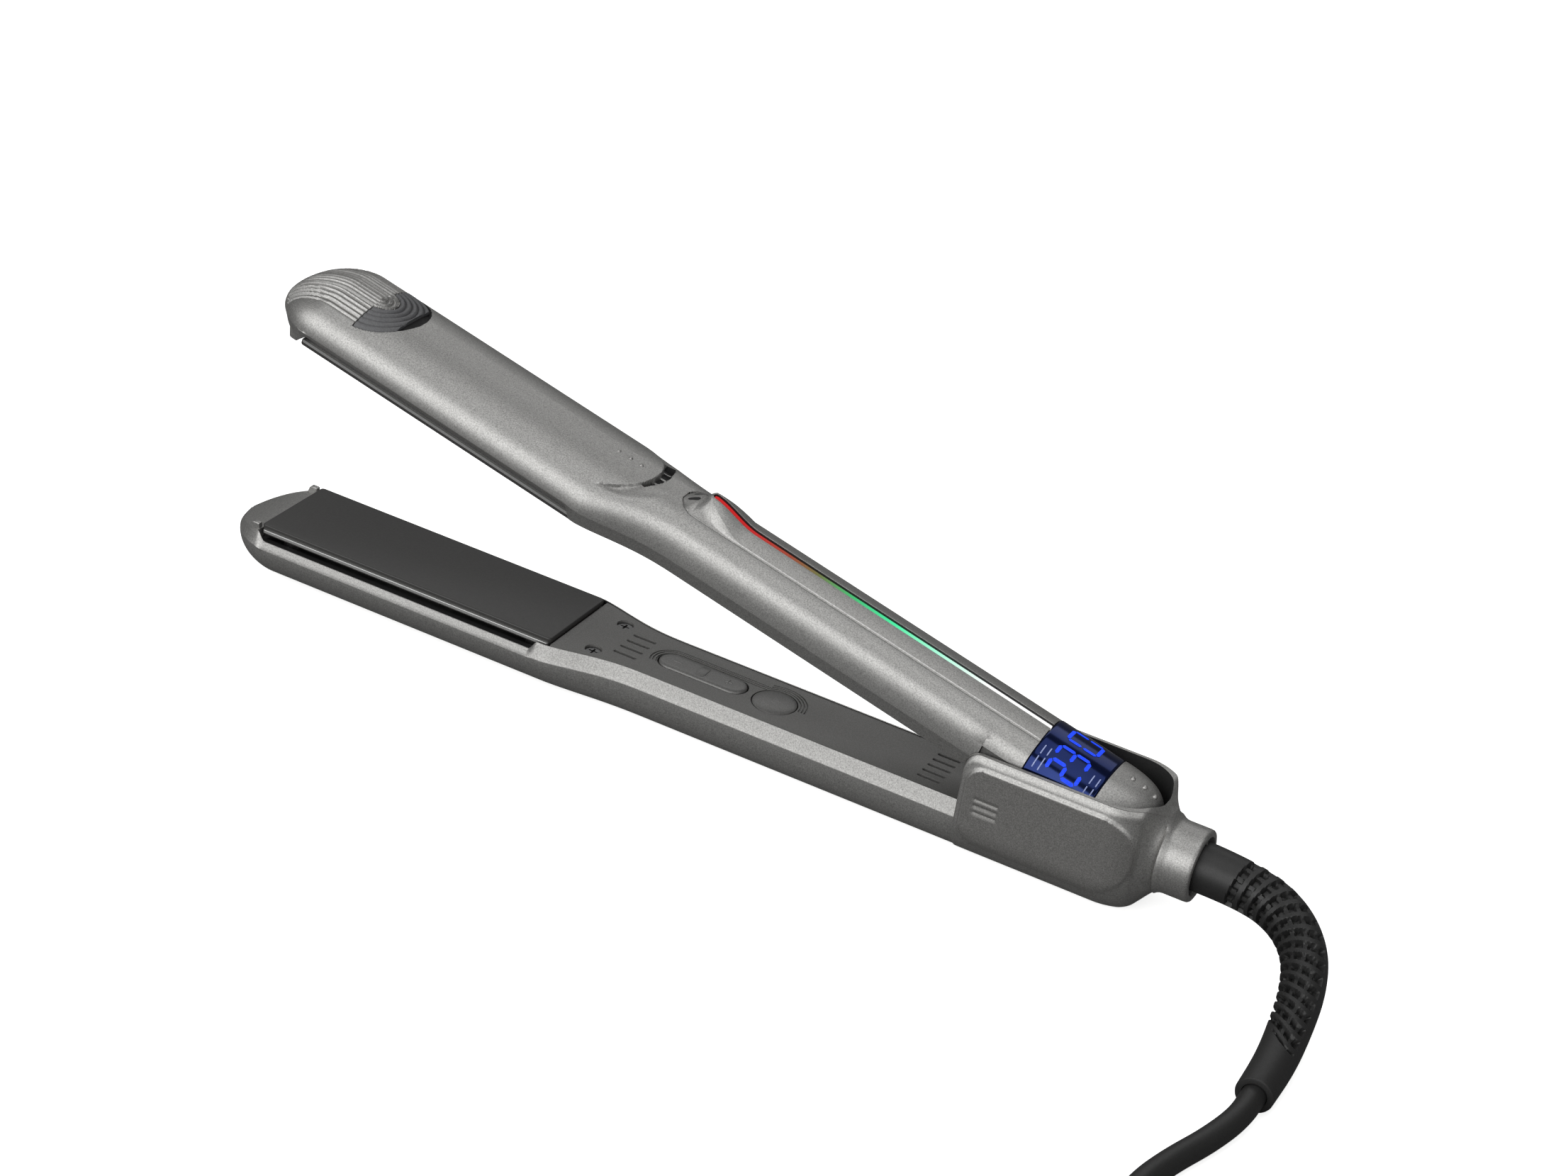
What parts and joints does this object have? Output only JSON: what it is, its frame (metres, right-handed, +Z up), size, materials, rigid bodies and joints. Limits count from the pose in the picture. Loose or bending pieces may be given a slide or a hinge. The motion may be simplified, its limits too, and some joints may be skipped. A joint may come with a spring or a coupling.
{
  "type": "flat iron",
  "caption": "Hair straightener with two hinged arms, floating heat plates, buttons, a display window, a light strip, and a power cord with plug.",
  "frame": {"origin": "on the table, under the middle of the iron without its cord", "axes": "+Z up, +X from the plate tips to the cord, +Y to the far side; the lower arm lies level and the upper arm is open"},
  "size_m": [0.4894, 0.1653, 0.0866],
  "materials": {
    "body_paint": "satin metallic",
    "panel_plastic": "matte, fine grain",
    "plate_coating": "dark ceramic coating",
    "black_plastic": "matte",
    "ceramic": "matte",
    "steel": "satin",
    "button_plastic": "satin",
    "circuit_board": "solder mask",
    "wire_insulation": "matte",
    "silicone": "matte",
    "light_guide": "glowing",
    "display_glass": "gloss",
    "cord_rubber": "satin",
    "plug_rubber": "satin",
    "pin_brass": "satin"
  },
  "bodies": {
    "lower_arm": {"lower_casing": "body_paint", "lower_inner_panel": "panel_plastic", "lower_plate_carrier": "black_plastic", "lower_float_springs": "steel", "lower_panel_screws": "steel", "control_board": "circuit_board", "tact_switches": "black_plastic", "lead_wires": "wire_insulation", "housing_near": "body_paint", "housing_far": "body_paint", "housing_screws": "steel", "hinge_pin": "steel", "return_spring": "steel", "swivel_collar": "black_plastic", "strain_relief": "cord_rubber", "cord_run": "cord_rubber", "cord_coil": "cord_rubber", "cord_tail": "cord_rubber", "plug_body": "plug_rubber", "plug_pins": "pin_brass"},
    "lower_plate": {"lower_heat_plate": "plate_coating", "lower_heater": "ceramic"},
    "rocker": {"temperature_rocker": "button_plastic"},
    "power": {"power_button": "button_plastic"},
    "upper_arm": {"upper_casing": "body_paint", "upper_inner_panel": "panel_plastic", "upper_plate_carrier": "black_plastic", "upper_float_springs": "steel", "upper_panel_screws": "steel", "tip_insert": "silicone", "spine_cover": "body_paint", "light_guide": "light_guide", "display_window": "display_glass", "display_module": "circuit_board", "end_cap": "body_paint", "hinge_block": "body_paint"},
    "upper_plate": {"upper_heat_plate": "plate_coating", "upper_heater": "ceramic"}
  },
  "joints": [
    {"name": "arm_hinge", "type": "hinge", "parent": "lower_arm", "child": "upper_arm", "pos_m": [0.10665, 0, 0.0174], "axis": [0, -1, 0], "range_deg": [0, 13.5], "stiffness_Nm_per_rad": 0.5, "springref_deg": -68.75, "deforming": ["return_spring"]},
    {"name": "lower_plate_float", "type": "slide", "parent": "lower_arm", "child": "lower_plate", "axis": [0, 0, -1], "range_m": [0, 0.0008], "stiffness_N_per_m": 3000, "springref_m": -0.0005, "deforming": ["lower_float_springs"]},
    {"name": "upper_plate_float", "type": "slide", "parent": "upper_arm", "child": "upper_plate", "axis": [0.2334, 0, 0.9724], "range_m": [0, 0.0008], "stiffness_N_per_m": 3000, "springref_m": -0.0005, "deforming": ["upper_float_springs"]},
    {"name": "temperature_rock", "type": "hinge", "parent": "lower_arm", "child": "rocker", "pos_m": [-0.00145, 0, 0.0127], "axis": [0, 1, 0], "range_deg": [-2.5, 2.5], "stiffness_Nm_per_rad": 0.1},
    {"name": "power_press", "type": "slide", "parent": "lower_arm", "child": "power", "axis": [0, 0, -1], "range_m": [0, 0.0005], "stiffness_N_per_m": 2000, "springref_m": -0.0005}
  ]
}
